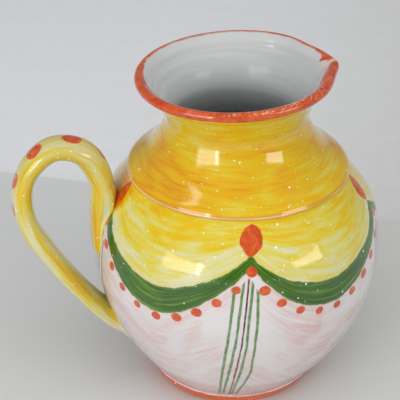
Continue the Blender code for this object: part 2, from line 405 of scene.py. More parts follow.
def leaf_distance(azimuth, height, radius):
    """Distance to the edge of the nearest leaf: a rounded lozenge above each cusp."""
    nearest = np.full(len(azimuth), FAR_OFF)
    for cusp, (aside, breadth) in zip(CUSPS, LEAVES):
        around = np.radians(degrees_apart(azimuth, cusp + aside)) * radius
        up = height - LEAF_HEIGHT
        half_width = breadth * LEAF_HALF_WIDTH * (1.0 - LEAF_TAPER * up)
        across = np.abs(around - LEAF_LEAN * up) / half_width
        reach = (across ** LEAF_ROUNDNESS + np.abs(up / LEAF_HALF_HEIGHT) ** LEAF_ROUNDNESS)
        reach = reach ** (1.0 / LEAF_ROUNDNESS)
        nearest = np.minimum(nearest, (reach - 1.0) * LEAF_HALF_WIDTH)
    return nearest


def stem_coordinates(azimuth, height, radius):
    """A number that is 0, 1, 2, 3 or 4 on the stems, the stems' spacing, and how far below
    its own top each stem is."""
    cusps = np.array(CUSPS)
    nearest = cusps[np.abs(degrees_apart(azimuth[:, None], cusps)).argmin(axis=1)]
    offset = degrees_apart(azimuth, nearest)
    lines = np.stack([np.interp(height, STEM_LEVELS[::-1], stem[::-1]) for stem in STEMS], axis=1)
    padded = np.concatenate([2 * lines[:, :1] - lines[:, 1:2], lines,
                             2 * lines[:, -1:] - lines[:, -2:-1]], axis=1)
    number = np.where(offset < padded[:, 0], -1.0, float(len(STEMS)))
    spacing = np.full(len(azimuth), 4.0)
    for index in range(padded.shape[1] - 1):
        left, right = padded[:, index], padded[:, index + 1]
        inside = (offset >= left) & (offset < right)
        number[inside] = (index - 1 + (offset - left) / (right - left))[inside]
        spacing[inside] = (np.radians(right - left) * radius)[inside]
    below_top = np.interp(number, range(len(STEMS)), STEM_TOPS) - height
    below_top[(number < -0.95) | (number > len(STEMS) - 0.05)] = NEVER_PAINTED
    return number, spacing, below_top


def store_belly_design(mesh, azimuth, height):
    """Where each vertex is in the painted design, for the belly's material."""
    radius = body_radius(height)
    which, share = swag_position(azimuth)
    upper, lower, upper_slope, lower_slope = swag_edges(which, share)
    width = math.tau / len(SWAGS) * radius
    store(mesh, "above_swag", (height - upper) / np.hypot(1.0, upper_slope / width))
    store(mesh, "below_swag", (lower - height) / np.hypot(1.0, lower_slope / width))
    band = np.clip((upper - height) / (upper - lower), -0.5, 1.5)
    yellow = np.clip((RIDGE_JOINT - height) / (RIDGE_JOINT - upper), 0.0, 1.3)
    store(mesh, "yellow_level", yellow * swag_values("yellow_fade", which))
    blush = np.exp(-(degrees_apart(azimuth, BLUSH_AZIMUTH) / BLUSH_SPREAD[0]) ** 2
                   - ((height - BLUSH_HEIGHT) / BLUSH_SPREAD[1]) ** 2)
    store(mesh, "blush", 0.55 + 0.7 * blush)
    in_green = YELLOW_STROKES + band * GREEN_STROKES
    in_white = YELLOW_STROKES + GREEN_STROKES + (lower - height)
    level = np.where(height > upper, yellow * YELLOW_STROKES,
                     np.where(height > lower, in_green, in_white))
    store_ring(mesh, azimuth, level)
    store(mesh, "height_mm", height)
    store(mesh, "dot", dot_distance(azimuth, height, radius))
    store(mesh, "leaf", leaf_distance(azimuth, height, radius))
    number, spacing, below_top = stem_coordinates(azimuth, height, radius)
    store(mesh, "stem_number", number)
    store(mesh, "stem_spacing", spacing)
    store(mesh, "below_stem_top", below_top)
    beside_strap = np.abs(np.radians(degrees_apart(azimuth, 180.0)) * radius) - STRAP_HALF_WIDTH
    from_crevice = (height - CREVICE_HEIGHT) * 0.4
    store(mesh, "crevice", np.hypot(np.clip(beside_strap, 0.0, None), from_crevice))


# ------------ node graphs

GLAZE_IOR = 1.5
COAT_ROUGHNESS = 0.03
RIPPLE = 0.06
RIPPLE_SCALE = 45.0
RIPPLE_DEPTH = 0.002        # in metres, as the bump node takes it


class Graph:
    """Short calls that build one material's nodes."""

    def __init__(self, name):
        self.material = bpy.data.materials.new(name)
        self.material.use_nodes = True
        self.tree = self.material.node_tree
        self.shader = self.tree.nodes["Principled BSDF"]

    def plug(self, socket, value):
        """Links an output, or sets a number or a colour, on an input."""
        if isinstance(value, bpy.types.NodeSocket):
            self.tree.links.new(value, socket)
        elif isinstance(value, tuple) and len(value) == 3 and socket.type == "RGBA":
            socket.default_value = (*value, 1.0)
        else:
            socket.default_value = value

    def node(self, kind, inputs):
        """A new node with some of its inputs set or linked."""
        node = self.tree.nodes.new("ShaderNode" + kind)
        for name, value in inputs.items():
            self.plug(node.inputs[name], value)
        return node

    def number(self, name, output="Fac"):
        """A number that is stored on the mesh."""
        node = self.tree.nodes.new("ShaderNodeAttribute")
        node.attribute_name = name
        return node.outputs[output]

    def stroke(self, scale, offset=(0.0, 0.0, 0.0)):
        """The stored brush direction, scaled."""
        return self.scaled(self.number("stroke", "Vector"), scale, offset)

    def place(self):
        """The place on the object, in metres."""
        return self.tree.nodes.new("ShaderNodeTexCoord").outputs["Object"]

    def math(self, operation, first, second=0.0, clamp=False):
        node = self.node("Math", {0: first, 1: second})
        node.operation = operation
        node.use_clamp = clamp
        return node.outputs[0]

    def add(self, first, second, clamp=False):
        return self.math("ADD", first, second, clamp)

    def times(self, first, second):
        return self.math("MULTIPLY", first, second)

    def scaled(self, vector, scale, offset=(0.0, 0.0, 0.0)):
        inputs = {"Vector": vector, "Scale": scale, "Location": offset}
        return self.node("Mapping", inputs).outputs[0]

    def noise(self, vector, scale, detail=2.0, roughness=0.5, distortion=0.0):
        inputs = {"Vector": vector, "Scale": scale, "Detail": detail, "Roughness": roughness,
                  "Distortion": distortion}
        return self.node("TexNoise", inputs).outputs["Fac"]

    def cells(self, vector, scale):
        """The distance to the middle of the nearest cell, and that cell's own colour."""
        node = self.node("TexVoronoi", {"Vector": vector, "Scale": scale})
        return node.outputs["Distance"], node.outputs["Color"]

    def remap(self, value, low, high, out_low=0.0, out_high=1.0, smooth=False):
        inputs = {"Value": value, "From Min": low, "From Max": high, "To Min": out_low,
                  "To Max": out_high}
        node = self.node("MapRange", inputs)
        node.interpolation_type = "SMOOTHSTEP" if smooth else "LINEAR"
        return node.outputs["Result"]

    def ramp(self, factor, stops):
        node = self.tree.nodes.new("ShaderNodeValToRGB")
        elements = node.color_ramp.elements
        while len(elements) < len(stops):
            elements.new(0.5)
        for element, (position, colour) in zip(elements, stops):
            element.position = position
            element.color = (*colour, 1.0)
        self.plug(node.inputs["Fac"], factor)
        return node.outputs["Color"]

    def mix(self, factor, under, over):
        """The colour over the other one, as far as the factor says."""
        node = self.tree.nodes.new("ShaderNodeMix")
        node.data_type = "RGBA"
        self.plug(node.inputs[0], factor)
        self.plug(node.inputs[6], under)
        self.plug(node.inputs[7], over)
        return node.outputs[2]

    def inside_edge(self, distance, softness=0.35):
        """1 where the distance is negative, fading to 0 over the softness."""
        return self.remap(distance, -softness, softness, 1.0, 0.0, smooth=True)

    def glaze(self, colour, gloss=0.55, specular=0.5, rough=0.0):
        """Connects the colour under a clear, slightly rippled gloss."""
        self.plug(self.shader.inputs["Base Color"], colour)
        self.shader.inputs["IOR"].default_value = GLAZE_IOR
        self.shader.inputs["Coat Weight"].default_value = gloss
        self.shader.inputs["Specular IOR Level"].default_value = specular
        self.shader.inputs["Coat Roughness"].default_value = COAT_ROUGHNESS
        smears = self.noise(self.place(), 60.0, 3.0, 0.6)
        roughness = self.remap(smears, 0.3, 0.7, rough + 0.08, rough + 0.2)
        self.plug(self.shader.inputs["Roughness"], roughness)
        waves = self.noise(self.place(), RIPPLE_SCALE, 1.0, 0.4)
        bump = self.node("Bump", {"Strength": RIPPLE, "Distance": RIPPLE_DEPTH, "Height": waves})
        self.plug(self.shader.inputs["Normal"], bump.outputs["Normal"])
        return self.material


WHITE = (0.74, 0.72, 0.725)
SPECK = (0.92, 0.88, 0.74)
PINK = (0.66, 0.36, 0.33)
PALE_GREY = (0.66, 0.60, 0.62)
GREEN_DARK = (0.014, 0.075, 0.001)
GREEN_MIDDLE = (0.033, 0.118, 0.002)
GREEN_LIGHT = (0.15, 0.28, 0.012)
STEM_GREEN = (0.075, 0.21, 0.035)
ORANGE_DEEP = (0.46, 0.038, 0.005)
ORANGE = (0.62, 0.080, 0.008)
ORANGE_THIN = (0.70, 0.17, 0.05)
ORANGE_BRIGHT = (0.74, 0.12, 0.025)
MAROON = (0.11, 0.012, 0.010)
# Brown where paint pools beside the strap's tail, darkened as painted shade of the crevice.
BROWN_POOL_AND_SHADE = (0.42, 0.10, 0.004)
RIDGE_LIGHT = (0.80, 0.58, 0.40)
RIDGE_SHADOW = (0.62, 0.19, 0.01)
LIP_FADED = (0.42, 0.26, 0.20)
LIP_WORN = (0.80, 0.55, 0.46)
LIP_YELLOW = (0.80, 0.51, 0.014)
SPOUT_WORN = (0.74, 0.56, 0.47)
INSIDE_GREY = (0.50, 0.515, 0.512)
INSIDE_WHITE = (0.57, 0.58, 0.575)
STRAP_BARE = (0.70, 0.67, 0.58)
STRAP_SHADE = (0.46, 0.36, 0.05)
YELLOW_STOPS = [(0.0, (0.68, 0.65, 0.38)), (0.25, (0.69, 0.60, 0.10)),
                (0.5, (0.73, 0.50, 0.003)), (0.78, (0.74, 0.39, 0.001)),
                (1.0, (0.69, 0.26, 0.002))]


def speckle(graph, colour, share=0.5):
    """Small pinholes that let the white body through: a few large ones and many tiny ones."""
    for spacing, size in ((135.0, 0.072), (310.0, 0.10)):
        distance, cell_colour = graph.cells(graph.place(), spacing)
        chosen = graph.math("LESS_THAN", cell_colour, 0.25 + 0.5 * share)
        uneven = graph.remap(cell_colour, 0.2, 0.8, 0.6, 1.8)
        dot = graph.remap(graph.times(distance, uneven), size * 0.6, size, 1.0, 0.0)
        colour = graph.mix(graph.times(dot, chosen), colour, SPECK)
    return colour


def yellow_paint(graph, thickness):
    """From thin lemon yellow to thick orange yellow."""
    return graph.ramp(thickness, YELLOW_STOPS)


def orange_tone(graph, scale=300.0):
    """Mottled orange, thin in places."""
    tone = graph.noise(graph.place(), scale, 3.0, 0.6)
    return graph.ramp(tone, [(0.28, ORANGE_DEEP), (0.5, ORANGE), (0.8, ORANGE_THIN)])


def streaks(graph, around, across, detail=3.0, roughness=0.6, offset=(0.0, 0.0, 0.0)):
    """Brush marks, long in the stroke's direction and fine across it."""
    stroke = graph.stroke((around, around, across), offset)
    return graph.noise(stroke, 1.0, detail, roughness, 0.15)


def edge_wobble(graph, reach, scale=160.0):
    """Millimetres by which a painted edge strays."""
    return graph.remap(graph.noise(graph.place(), scale, 2.0), 0.25, 0.75, -reach, reach)


def white_body(graph):
    """The bare white glaze with a thin wash of pink brushed over it."""
    wide = graph.stroke((1.7, 1.7, 0.035))
    clouds = graph.noise(wide, 1.0, 3.0, 0.55, 0.7)
    narrow = graph.stroke((3.4, 3.4, 0.22))
    strokes = graph.noise(narrow, 1.0, 4.0, 0.6, 1.0)
    fine = streaks(graph, 5.0, 0.9)
    pink = graph.times(graph.remap(clouds, 0.38, 0.56), graph.remap(strokes, 0.32, 0.60))
    pink = graph.times(pink, graph.remap(fine, 0.3, 0.7, 0.55, 1.0))
    low = graph.remap(graph.number("height_mm"), 10.0, 32.0, 0.34, 0.0, smooth=True)
    pink = graph.times(graph.add(pink, 0.14), graph.number("blush"))
    haze = graph.add(pink, low, clamp=True)
    grey = graph.mix(graph.remap(strokes, 0.45, 0.75, 0.0, 0.5), WHITE, PALE_GREY)
    return graph.mix(haze, grey, PINK)


def belly_yellow(graph):
    """Yellow that thins out towards the swag and, beside the strap's tail, pools brown and carries
    painted shade.
    """
    coarse = streaks(graph, 2.6, 0.20, 3.0, 0.55, (7.0, 0.0, 3.0))
    brush = streaks(graph, 4.0, 0.75, 4.0, 0.65)
    crevice = graph.number("crevice")
    thickness = graph.add(graph.remap(graph.number("yellow_level"), 0.0, 1.0, 0.46, -0.04),
                          graph.remap(coarse, 0.3, 0.7, -0.22, 0.26))
    thickness = graph.add(thickness, graph.remap(brush, 0.3, 0.7, -0.2, 0.22))
    # Beside the strap's tail the paint pools, thicker and browner, with painted shade of the
    # crevice on top.
    pooled_and_shaded = graph.remap(crevice, 0.5, 9.0, 1.0, 0.0, smooth=True)
    thickness = graph.add(thickness, graph.times(pooled_and_shaded, 0.6), clamp=True)
    browned = graph.remap(crevice, 0.0, 4.5, 0.85, 0.0, smooth=True)
    return speckle(graph, graph.mix(browned, yellow_paint(graph, thickness), BROWN_POOL_AND_SHADE))


def belly_green(graph, edge):
    """The swag's green, streaky, and thinner along both of its edges."""
    brush = streaks(graph, 2.2, 0.75, 4.0, 0.72, (0.0, 5.0, 0.0))
    green = graph.ramp(brush, [(0.38, GREEN_DARK), (0.52, GREEN_MIDDLE), (0.70, GREEN_LIGHT)])
    thin = graph.remap(edge, -1.6, -0.2, 0.0, 0.45, smooth=True)
    return speckle(graph, graph.mix(thin, green, GREEN_LIGHT), 0.7)


def belly_paint():
    """White below, yellow above, and the green swags with their dots, leaves and stems."""
    graph = Graph("painted_belly")
    wobble = edge_wobble(graph, 0.6)
    top = graph.add(graph.number("above_swag"), wobble)
    bottom = graph.math("SUBTRACT", graph.number("below_swag"), wobble)
    edge = graph.math("MAXIMUM", top, bottom)
    above = graph.inside_edge(graph.times(top, -1.0))
    colour = graph.mix(above, white_body(graph), belly_yellow(graph))
    colour = graph.mix(graph.inside_edge(edge), colour, belly_green(graph, edge))
    orange = orange_tone(graph)
    dots = graph.add(graph.number("dot"), graph.times(wobble, 0.6))
    colour = graph.mix(graph.inside_edge(dots), colour, orange)
    leaf = graph.add(graph.number("leaf"), wobble)
    colour = graph.mix(graph.inside_edge(leaf), colour, orange)
    colour = stem_paint(graph, colour)
    seam = graph.math("SUBTRACT", graph.number("height_mm"), FOOT_JOINT + 0.8)
    seam = graph.times(graph.inside_edge(seam, 0.5), 0.6)
    return graph.glaze(graph.mix(seam, colour, MAROON))


def stem_paint(graph, colour):
    """Thin lines, where the stem number is near a whole one."""
    number = graph.add(graph.number("stem_number"), edge_wobble(graph, 0.09, 55.0))
    nearest = graph.math("ROUND", number)
    away = graph.math("ABSOLUTE", graph.math("SUBTRACT", number, nearest))
    away = graph.times(away, graph.number("stem_spacing"))
    maroon = graph.math("COMPARE", nearest, float(MAROON_STEM))
    thin = graph.add(edge_wobble(graph, 0.16, 70.0), STEM_HALF_WIDTH)
    thin = graph.math("SUBTRACT", thin, graph.times(maroon, 0.25))
    line = graph.inside_edge(graph.math("SUBTRACT", away, thin), 0.25)
    line = graph.times(line, graph.math("GREATER_THAN", number, -0.5))
    line = graph.times(line, graph.math("LESS_THAN", number, len(STEMS) - 0.5))
    over_top = graph.times(graph.number("below_stem_top"), -1.0)
    line = graph.times(line, graph.inside_edge(over_top, 0.8))
    under_foot = graph.math("SUBTRACT", STEM_FOOT, graph.number("height_mm"))
    line = graph.times(line, graph.inside_edge(under_foot, 0.8))
    patchy = graph.remap(graph.noise(graph.place(), 260.0, 2.0), 0.3, 0.6, 0.75, 1.0)
    paint = graph.mix(maroon, STEM_GREEN, MAROON)
    return graph.mix(graph.times(line, patchy), colour, paint)


def shoulder_paint():
    """Yellow in uneven brush turns, with the raised line rubbed pale and, beside it, a darker
    orange of paint that pools there and painted shade.
    """
    graph = Graph("painted_shoulder")
    place = graph.scaled(graph.place(), (1.0, 1.0, 1.6), (0.3, 0.1, 0.0))
    patches = graph.noise(place, 24.0, 2.0, 0.5)
    coarse = streaks(graph, 1.8, 0.12, 3.0, 0.6, (3.0, 1.0, 0.0))
    brush = streaks(graph, 2.6, 0.8, 4.0, 0.68)
    thickness = graph.add(graph.remap(coarse, 0.3, 0.7, 0.34, 0.68),
                          graph.remap(brush, 0.3, 0.7, -0.26, 0.24))
    thickness = graph.add(thickness, graph.remap(patches, 0.35, 0.7, -0.1, 0.3))
    higher = graph.remap(graph.number("height_mm"), 158.0, 180.0, 0.0, 0.2, smooth=True)
    thickness = graph.math("SUBTRACT", thickness, higher)
    thickness = graph.add(thickness, graph.number("orange_wash"), clamp=True)
    colour = yellow_paint(graph, thickness)
    near_ridge = graph.number("ridge")
    uneven = graph.noise(graph.place(), 40.0, 2.0)
    # Painted shade: darker orange along the raised line, with the paint that pools there.
    shadow = graph.remap(near_ridge, 0.8, 2.6, 0.5, 0.0, smooth=True)
    colour = graph.mix(shadow, colour, RIDGE_SHADOW)
    light = graph.times(graph.remap(near_ridge, 0.35, 0.75, 1.0, 0.0, smooth=True),
                        graph.remap(uneven, 0.38, 0.6, 0.1, 0.9))
    colour = graph.mix(light, colour, RIDGE_LIGHT)
    return graph.glaze(speckle(graph, colour, 0.6))


def foot_paint():
    """Orange up to an uneven edge under the belly."""
    graph = Graph("foot_paint")
    wobble = edge_wobble(graph, 0.5, 120.0)
    tone = graph.noise(graph.place(), 120.0, 3.0, 0.6)
    colour = graph.ramp(tone, [(0.3, ORANGE), (0.6, ORANGE_BRIGHT), (0.85, ORANGE_THIN)])
    edge = graph.add(graph.number("below_top"), wobble)
    colour = graph.mix(graph.inside_edge(edge, 0.5), colour, WHITE)
    return graph.glaze(speckle(graph, colour, 0.3))


def lip_paint():
    """Orange over the rim's crest, white glaze inside it and yellow under it."""
    graph = Graph("lip_paint")
    wobble = edge_wobble(graph, 0.22, 110.0)
    colour = orange_tone(graph, 200.0)
    fade = graph.remap(graph.number("faded"), 0.2, 1.0, 0.0, 0.55, smooth=True)
    colour = graph.mix(fade, colour, LIP_FADED)
    worn = graph.noise(graph.place(), 620.0, 3.0, 0.7)
    worn = graph.times(graph.remap(worn, 0.56, 0.64), graph.number("worn"))
    colour = graph.mix(worn, colour, LIP_WORN)
    inner = graph.add(graph.number("inner_edge"), wobble)
    colour = graph.mix(graph.inside_edge(inner), colour, INSIDE_WHITE)
    outer = graph.add(graph.number("outer_edge"), wobble)
    colour = graph.mix(graph.inside_edge(outer), colour, LIP_YELLOW)
    gap = graph.add(graph.number("spout_gap"), graph.times(wobble, 2.5))
    colour = graph.mix(graph.inside_edge(gap, 1.6), colour, SPOUT_WORN)
    return graph.glaze(colour)


def inside_paint():
    """The white glaze inside, duller than the outside."""
    graph = Graph("inside_glaze")
    tone = graph.noise(graph.scaled(graph.place(), (3.0, 3.0, 60.0)), 6.0, 3.0)
    colour = graph.ramp(tone, [(0.3, INSIDE_GREY), (0.7, INSIDE_WHITE)])
    return graph.glaze(colour, 0.1, 0.3, 0.12)


def strap_paint():
    """Yellow in long streaks, with a row of orange dots."""
    graph = Graph("painted_strap")
    coarse = streaks(graph, 1.4, 0.018, 3.0, 0.6)
    brush = streaks(graph, 6.0, 0.045, 4.0, 0.7, (1.0, 2.0, 3.0))
    thickness = graph.add(graph.remap(coarse, 0.38, 0.62, -0.12, 0.46),
                          graph.remap(brush, 0.32, 0.68, -0.3, 0.3))
    # Deeper yellow where paint pools along the edges, and painted shade where the strap meets the
    # belly.
    thickness = graph.add(thickness, graph.number("pooling_and_shade"), clamp=True)
    colour = graph.mix(graph.number("bare"), yellow_paint(graph, thickness), STRAP_BARE)
    colour = graph.mix(graph.number("shade"), colour, STRAP_SHADE)
    wobble = edge_wobble(graph, 0.5)
    dots = graph.add(graph.number("dot"), wobble)
    colour = graph.mix(graph.inside_edge(dots), colour, orange_tone(graph))
    return graph.glaze(speckle(graph, colour, 0.4))


# ------------ the pieces

AZIMUTH_STEPS = 560


def place_piece(item, slot, *nodes):
    """Every piece is on the root body and stands for the named CAD nodes."""
    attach(item, "root")
    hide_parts(*nodes)


def paint_sides(item, outside, inside, is_inside):
    """Two materials: one for the painted side and one for faces of the inner wall."""
    mesh = item.data
    mesh.materials.append(outside)
    mesh.materials.append(inside)
    corner = np.array([face.vertices[0] for face in mesh.polygons])
    mesh.polygons.foreach_set("material_index", is_inside[corner].astype(np.int32))


def add_foot():
    """The ring that it stands on."""
    outer = smooth_curve([(FOOT_TOP_RADIUS, FOOT_JOINT), (51.9, 6.6), (50.8, 3.6),
                          (49.2, 1.0), (47.6, 0.0)], 0.5)
    inner = smooth_curve([(43.4, 0.0), (42.2, 1.0), (FOOT_INNER_RADIUS, 4.0),
                          (FOOT_INNER_RADIUS, FOOT_JOINT)], 0.7)
    outline = np.vstack([outer, inner])
    foot, _, height = turned("orange_foot", outline, 360, True)
    store(foot.data, "below_top", FOOT_JOINT - 0.7 - height)
    foot.data.materials.append(foot_paint())
    place_piece(foot, "foot_glaze", "foot_ring")


def add_belly(inside):
    """From the floor up to the raised line."""
    wall = inside_between(FLOOR_TOP + 6.0, RIDGE_JOINT, 2.0)[::-1]
    floor = smooth_curve([(0.0, FLOOR_TOP), (20.0, FLOOR_TOP), (40.0, FLOOR_TOP + 0.4),
                          (wall[0][0] - 3.0, FLOOR_TOP + 3.0), tuple(wall[0])], 2.5)
    outer = even_points(BELLY_LINE, 0.85)
    outline = np.vstack([floor, wall[1:], outer, [(0.0, FOOT_JOINT)]])
    belly, azimuth, height = turned("painted_belly", outline, AZIMUTH_STEPS, False)
    store_belly_design(belly.data, azimuth, height)
    first_outer = 1 + (len(floor) - 1 + len(wall) - 1) * AZIMUTH_STEPS
    is_inside = np.arange(len(azimuth)) < first_outer
    paint_sides(belly, belly_paint(), inside, is_inside)
    place_piece(belly, "belly_glaze", "belly")


def add_shoulder(inside):
    """The raised line and the neck above it."""
    wall = inside_between(RIDGE_JOINT, LIP_JOINT, 1.6)[::-1]
    outer = smooth_curve(NECK_KNOTS + [(RIDGE_RADIUS - 1.6, RIDGE_JOINT + 4.6),
                                       (RIDGE_RADIUS + 0.2, RIDGE_JOINT + 2.2),
                                       (RIDGE_RADIUS + RIDGE_PROUD, RIDGE_JOINT + 1.1),
                                       (RIDGE_RADIUS + 0.1, RIDGE_JOINT)], 0.6)
    outline = np.vstack([wall, outer])
    shoulder, azimuth, height = turned("painted_shoulder", outline, AZIMUTH_STEPS, True)
    store_ring(shoulder.data, azimuth, height)
    store(shoulder.data, "ridge", np.abs(height - RIDGE_JOINT - 1.2))
    store(shoulder.data, "height_mm", height)
    wash = np.exp(-(degrees_apart(azimuth, -150.0) / 20.0) ** 2 - ((height - 150.0) / 11.0) ** 2)
    store(shoulder.data, "orange_wash", 0.2 * wash)
    is_inside = np.arange(len(azimuth)) < len(wall) * AZIMUTH_STEPS
    paint_sides(shoulder, shoulder_paint(), inside, is_inside)
    place_piece(shoulder, "shoulder_glaze", "shoulder_and_neck")


LIP_STEPS = 720
PAINT_END_INSIDE = 198.5    # heights where the rim's orange ends, inside and outside
PAINT_END_OUTSIDE = 194.9
MOUTH_CREST_RADIUS = 53.9
MOUTH_CREST_HEIGHT = 199.9


def store_lip_design(mesh, azimuth, height, is_inside):
    """Where the rim's paint ends, inside and outside, and where it is faded or rubbed."""
    turn = np.radians(azimuth)
    drip = 2.2 * np.exp(-((azimuth - 2.0) / 2.0) ** 2)
    end = PAINT_END_INSIDE + 1.2 * np.clip(2.4 * np.sin(turn + 0.14), -1.0, 1.0) - drip
    store(mesh, "inner_edge", np.where(is_inside, height - end, 9.0))
    past_end = height - PAINT_END_OUTSIDE - 0.2 * np.sin(5.0 * turn)
    store(mesh, "outer_edge", np.where(is_inside, 9.0, past_end))
    store(mesh, "faded", np.exp(-(degrees_apart(azimuth, 95.0) / 38.0) ** 2))
    front = np.exp(-(degrees_apart(azimuth, -72.0) / 36.0) ** 2)
    store(mesh, "worn", front * np.clip((height - 197.8) / 1.2, 0.0, 1.0))
    store(mesh, "spout_gap", np.abs(degrees_apart(azimuth, -4.5)) - 1.4)


def add_lip():
    """The rolled rim."""
    inner_radius = inside_between(RIDGE_JOINT, LIP_JOINT, 1.6)[0][0]
    inner = smooth_curve([(inner_radius, LIP_JOINT), (inner_radius + 1.9, LIP_JOINT + 3.2),
                          (52.4, 199.2), (MOUTH_CREST_RADIUS, MOUTH_CREST_HEIGHT)], 0.4)
    bead = smooth_curve([(MOUTH_CREST_RADIUS, MOUTH_CREST_HEIGHT), (54.9, HEIGHT), (56.2, 199.2),
                         (LIP_RADIUS, 197.4), (56.4, 195.3), (54.4, LIP_JOINT)], 0.4)
    outline = np.vstack([inner[:-1], bead])
    lip, azimuth, height = turned("rolled_lip", outline, LIP_STEPS, True)
    is_inside = np.arange(len(azimuth)) < len(inner) * LIP_STEPS
    store_lip_design(lip.data, azimuth, height, is_inside)
    lip.data.materials.append(lip_paint())
    place_piece(lip, "lip_glaze", "lip_with_spout")


# Each of the strap's dots: how far along it, and where round the section (180 faces outwards).
STRAP_DOTS = [(62.5, 174.0), (77.5, 186.0), (94.5, 193.0), (112.6, 190.0), (129.5, 188.0),
              (146.0, 185.0), (162.0, 183.0)]
STRAP_DOT_RADIUS = 3.6
STRAP_DOT_STRETCH = 1.25    # a dot is longer along the strap by this much
SECTION_RADIUS = 8.0        # turns an angle round the section into millimetres
SECTION_STEPS = 96
TAIL_TIP = 8.0              # how long the tail's rounded tip is
FILLET = 3.5                # clay smeared out where the strap meets the belly
LOWER_FILLET = 4.5
SPREAD_LENGTH = 46.0        # how much of the lower end widens towards the belly
BEND_SWELL = 3.0            # extra clay under the upper bend, and how far along that is
BEND_PLACE = 58.0
BEND_REACH = 20.0
PRESSED_FADE = 14.0         # over this length the tail stops being pressed onto the wall
PRESSED_DEPTH = 0.8
DEEPEST_IN_WALL = 1.5


def strap_sections(line):
    """Half width and half thickness of the strap at each point of its line."""
    steps = np.hypot(*np.diff(line, axis=0).T)
    along = np.concatenate([[0.0], np.cumsum(steps)])
    tip = np.sqrt(np.clip(1.0 - (1.0 - along / TAIL_TIP).clip(0.0, 1.0) ** 2, 0.02, 1.0))
    grown = np.clip(along / TAIL_THINS_OVER, 0.0, 1.0)
    grown = grown ** 2 * (3.0 - 2.0 * grown)
    thickness = TAIL_HALF_THICKNESS + (STRAP_HALF_THICKNESS - TAIL_HALF_THICKNESS) * grown
    lower = np.clip((along - along[-1] + SPREAD_LENGTH) / SPREAD_LENGTH, 0.0, 1.0)
    uneven = 1.0 + 0.02 * np.sin(along / 11.0) + 0.015 * np.sin(along / 4.7)
    thickness = thickness * tip * (1.0 - 0.12 * lower ** 2) * uneven
    return along, STRAP_HALF_WIDTH * tip * (1.0 + 0.15 * lower ** 2) * uneven, thickness, lower


def strap_points(line, turn):
    """Radius, sideways place and height of each section's points, and their gap to the wall."""
    along, width, thickness, lower = strap_sections(line)
    direction = np.gradient(line, axis=0)
    direction /= np.linalg.norm(direction, axis=1, keepdims=True)
    to_loop = np.stack([direction[:, 1], -direction[:, 0]], axis=1)
    out = np.cos(turn)
    side = np.sin(turn)
    radius = line[:, :1] + to_loop[:, :1] * thickness[:, None] * out
    height = line[:, 1:] + to_loop[:, 1:] * thickness[:, None] * out
    across = width[:, None] * side
    facing_wall = np.clip(-2.5 * out, 0.0, 1.0)
    pressed = np.clip((TAIL_THINS_OVER - along) / PRESSED_FADE, 0.0, 1.0)[:, None] * facing_wall
    to_wall = np.clip(radius - wall_behind(height) + PRESSED_DEPTH, 0.0, None)
    swell = BEND_SWELL * np.exp(-((along - BEND_PLACE) / BEND_REACH) ** 2)[:, None]
    swell = swell * np.clip(-out, 0.0, 1.0)
    radius = radius - pressed * to_wall - to_loop[:, :1] * swell
    height = height - to_loop[:, 1:] * swell
    beyond = np.hypot(radius, across) - wall_behind(height)
    fillet = FILLET + (LOWER_FILLET - FILLET) * lower[:, None]
    flare = np.clip(fillet - beyond, 0.0, fillet) ** 2 / (2.0 * fillet)
    flare *= np.clip(along / TAIL_TIP, 0.0, 1.0)[:, None]
    across = across + flare * side
    radius = radius + flare * to_loop[:, :1] * out * lower[:, None]
    height = height + flare * to_loop[:, 1:] * out * lower[:, None]
    depth = wall_behind(height) - DEEPEST_IN_WALL - np.hypot(radius, across)
    return radius + np.clip(depth, 0.0, None), across, height, beyond, along


def add_strap():
    """The handle with both of its smeared-on ends."""
    line = smooth_curve(STRAP_ROUTE, 0.7)
    turn = np.linspace(0.0, math.tau, SECTION_STEPS, endpoint=False)
    radius, across, height, beyond, along = strap_points(line, turn)
    count = len(line)
    coords = np.stack([AXIS_X - radius, across, height], axis=2).reshape(-1, 3) * MM
    rings = np.arange(count * SECTION_STEPS).reshape(count, SECTION_STEPS)
    faces = [rings[0].tolist()[::-1], rings[-1].tolist()]
    for first, second in zip(rings, rings[1:]):
        faces += np.stack([first, second, np.roll(second, -1), np.roll(first, -1)], axis=1).tolist()
    mesh = bpy.data.meshes.new("strap_handle")
    mesh.from_pydata(coords.tolist(), [], faces)
    strap = new_object("strap_handle", mesh)
    finish_mesh(mesh, 80.0)
    store_strap_design(mesh, np.repeat(along, SECTION_STEPS), np.tile(turn, count), beyond.ravel())
    mesh.materials.append(strap_paint())
    place_piece(strap, "handle_glaze", "handle", "handle_upper_joint", "handle_lower_joint")


